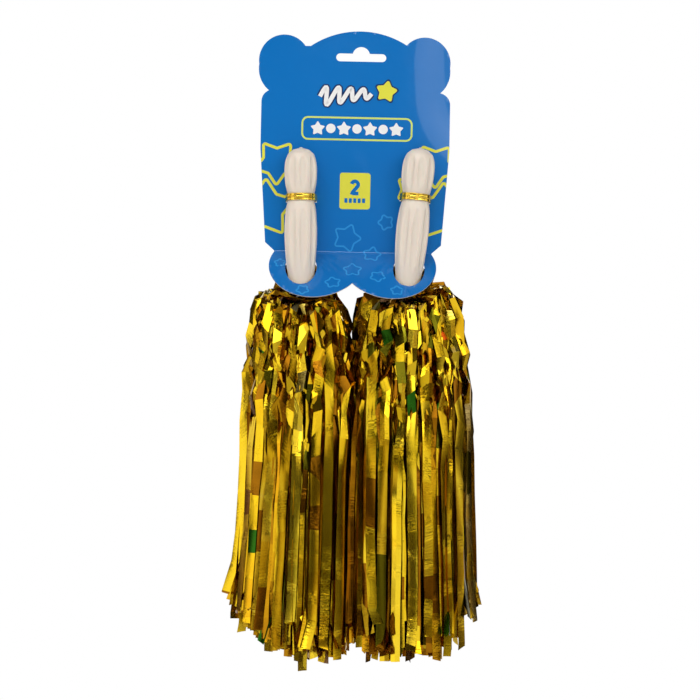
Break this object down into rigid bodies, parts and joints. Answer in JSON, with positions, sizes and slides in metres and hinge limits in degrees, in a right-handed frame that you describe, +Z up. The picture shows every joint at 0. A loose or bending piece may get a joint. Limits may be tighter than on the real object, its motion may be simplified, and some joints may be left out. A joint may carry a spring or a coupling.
{
  "type": "carded cheer pom pom pair",
  "caption": "Two tinsel cheer pom poms with fluted baton handles, wire-tied to a die-cut hanging header card; handles turn and skirts swing.",
  "frame": {"origin": "top of the hang slot's bump, in the front face of the card, where a display peg carries the pack", "axes": "+Z up as it hangs, -Y out of the card's printed front, +X to the right seen from the front"},
  "size_m": [0.1522, 0.07, 0.4212],
  "materials": {
    "card": "gloss-laminated printed blue",
    "tie_foil": "gold foil laminate",
    "wire": "bright drawn wire",
    "handle": "semi-gloss moulded ivory",
    "plug": "natural polyethylene",
    "strips_dark": "metallised film in shade",
    "strips_amber": "metallised film, amber",
    "strips_gold": "bright metallised gold film"
  },
  "bodies": {
    "card": {"header_card": "card", "left_tie_ribbon": "tie_foil", "left_tie_wire": "wire", "right_tie_ribbon": "tie_foil", "right_tie_wire": "wire"},
    "left_baton": {"left_handle": "handle", "left_end_plug": "plug", "left_pull_wire": "wire"},
    "left_skirt": {"left_core_strips": "strips_dark", "left_middle_strips": "strips_amber", "left_outer_strips": "strips_gold"},
    "right_baton": {"right_handle": "handle", "right_end_plug": "plug", "right_pull_wire": "wire"},
    "right_skirt": {"right_core_strips": "strips_dark", "right_middle_strips": "strips_amber", "right_outer_strips": "strips_gold"}
  },
  "joints": [
    {"name": "left_turn", "type": "hinge", "parent": "card", "child": "left_baton", "pos_m": [-0.0387, -0.0116, -0.104], "axis": [-0.0209, 0, 0.9998], "range_deg": [-30, 30]},
    {"name": "left_swing", "type": "hinge", "parent": "left_baton", "child": "left_skirt", "pos_m": [-0.03723, -0.0116, -0.17398], "axis": [0, 1, 0], "range_deg": [0, 40]},
    {"name": "right_turn", "type": "hinge", "parent": "card", "child": "right_baton", "pos_m": [0.0387, -0.0116, -0.1025], "axis": [0.075, 0, 0.9972], "range_deg": [-30, 30]},
    {"name": "right_swing", "type": "hinge", "parent": "right_baton", "child": "right_skirt", "pos_m": [0.03345, -0.0116, -0.1723], "axis": [0, -1, 0], "range_deg": [0, 40]}
  ]
}
